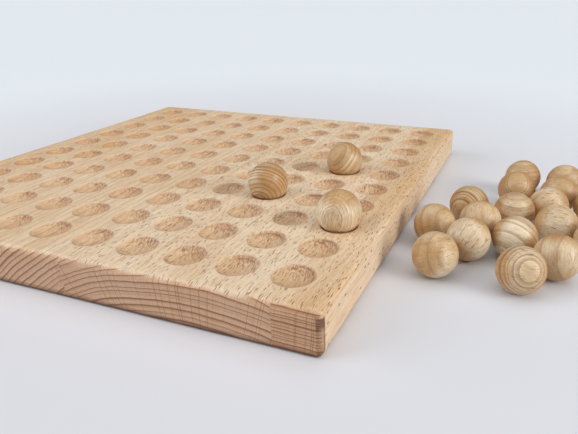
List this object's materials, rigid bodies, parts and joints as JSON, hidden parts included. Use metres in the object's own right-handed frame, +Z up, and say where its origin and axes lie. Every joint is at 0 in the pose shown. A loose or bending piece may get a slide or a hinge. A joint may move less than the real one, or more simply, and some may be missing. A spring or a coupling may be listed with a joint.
{
  "type": "ball game board with balls",
  "caption": "Square beech game board with a grid of shallow spherical seats in its top, and the turned wooden balls that are played on it, some seated and some loose beside it.",
  "frame": {"origin": "centre of the board's underside, on the surface that the board and the loose balls stand on", "axes": "+Z up out of the board's top, +Y along the grain from the front edge to the back, +X to the right, towards the loose balls"},
  "size_m": [0.349, 0.25, 0.0352],
  "materials": {
    "board_beech": "sanded beech with a thin matt oil, grain along Y",
    "ball_beech": "turned and tumbled beech, bare and slightly polished by handling"
  },
  "bodies": {
    "board": {"left_stave": "board_beech", "left_centre_stave": "board_beech", "right_centre_stave": "board_beech", "right_stave": "board_beech"},
    "seated_ball_1": {"seated_ball_1": "ball_beech"},
    "seated_ball_2": {"seated_ball_2": "ball_beech"},
    "seated_ball_3": {"seated_ball_3": "ball_beech"},
    "loose_ball_01": {"loose_ball_01": "ball_beech"},
    "loose_ball_02": {"loose_ball_02": "ball_beech"},
    "loose_ball_03": {"loose_ball_03": "ball_beech"},
    "loose_ball_04": {"loose_ball_04": "ball_beech"},
    "loose_ball_05": {"loose_ball_05": "ball_beech"},
    "loose_ball_06": {"loose_ball_06": "ball_beech"},
    "loose_ball_07": {"loose_ball_07": "ball_beech"},
    "loose_ball_08": {"loose_ball_08": "ball_beech"},
    "loose_ball_09": {"loose_ball_09": "ball_beech"},
    "loose_ball_10": {"loose_ball_10": "ball_beech"},
    "loose_ball_11": {"loose_ball_11": "ball_beech"},
    "loose_ball_12": {"loose_ball_12": "ball_beech"},
    "loose_ball_13": {"loose_ball_13": "ball_beech"},
    "loose_ball_14": {"loose_ball_14": "ball_beech"},
    "loose_ball_15": {"loose_ball_15": "ball_beech"},
    "loose_ball_16": {"loose_ball_16": "ball_beech"},
    "loose_ball_17": {"loose_ball_17": "ball_beech"}
  },
  "joints": [
    {"name": "seated_ball_1_lift", "type": "slide", "parent": "board", "child": "seated_ball_1", "axis": [0, 0, 1], "range_m": [0, 0.06]},
    {"name": "seated_ball_2_lift", "type": "slide", "parent": "board", "child": "seated_ball_2", "axis": [0, 0, 1], "range_m": [0, 0.06]},
    {"name": "seated_ball_3_lift", "type": "slide", "parent": "board", "child": "seated_ball_3", "axis": [0, 0, 1], "range_m": [0, 0.06]},
    {"name": "loose_ball_01_lift", "type": "slide", "parent": "board", "child": "loose_ball_01", "axis": [0, 0, 1], "range_m": [0, 0.06]},
    {"name": "loose_ball_02_lift", "type": "slide", "parent": "board", "child": "loose_ball_02", "axis": [0, 0, 1], "range_m": [0, 0.06]},
    {"name": "loose_ball_03_lift", "type": "slide", "parent": "board", "child": "loose_ball_03", "axis": [0, 0, 1], "range_m": [0, 0.06]},
    {"name": "loose_ball_04_lift", "type": "slide", "parent": "board", "child": "loose_ball_04", "axis": [0, 0, 1], "range_m": [0, 0.06]},
    {"name": "loose_ball_05_lift", "type": "slide", "parent": "board", "child": "loose_ball_05", "axis": [0, 0, 1], "range_m": [0, 0.06]},
    {"name": "loose_ball_06_lift", "type": "slide", "parent": "board", "child": "loose_ball_06", "axis": [0, 0, 1], "range_m": [0, 0.06]},
    {"name": "loose_ball_07_lift", "type": "slide", "parent": "board", "child": "loose_ball_07", "axis": [0, 0, 1], "range_m": [0, 0.06]},
    {"name": "loose_ball_08_lift", "type": "slide", "parent": "board", "child": "loose_ball_08", "axis": [0, 0, 1], "range_m": [0, 0.06]},
    {"name": "loose_ball_09_lift", "type": "slide", "parent": "board", "child": "loose_ball_09", "axis": [0, 0, 1], "range_m": [0, 0.06]},
    {"name": "loose_ball_10_lift", "type": "slide", "parent": "board", "child": "loose_ball_10", "axis": [0, 0, 1], "range_m": [0, 0.06]},
    {"name": "loose_ball_11_lift", "type": "slide", "parent": "board", "child": "loose_ball_11", "axis": [0, 0, 1], "range_m": [0, 0.06]},
    {"name": "loose_ball_12_lift", "type": "slide", "parent": "board", "child": "loose_ball_12", "axis": [0, 0, 1], "range_m": [0, 0.06]},
    {"name": "loose_ball_13_lift", "type": "slide", "parent": "board", "child": "loose_ball_13", "axis": [0, 0, 1], "range_m": [0, 0.06]},
    {"name": "loose_ball_14_lift", "type": "slide", "parent": "board", "child": "loose_ball_14", "axis": [0, 0, 1], "range_m": [0, 0.06]},
    {"name": "loose_ball_15_lift", "type": "slide", "parent": "board", "child": "loose_ball_15", "axis": [0, 0, 1], "range_m": [0, 0.06]},
    {"name": "loose_ball_16_lift", "type": "slide", "parent": "board", "child": "loose_ball_16", "axis": [0, 0, 1], "range_m": [0, 0.06]},
    {"name": "loose_ball_17_lift", "type": "slide", "parent": "board", "child": "loose_ball_17", "axis": [0, 0, 1], "range_m": [0, 0.06]}
  ]
}
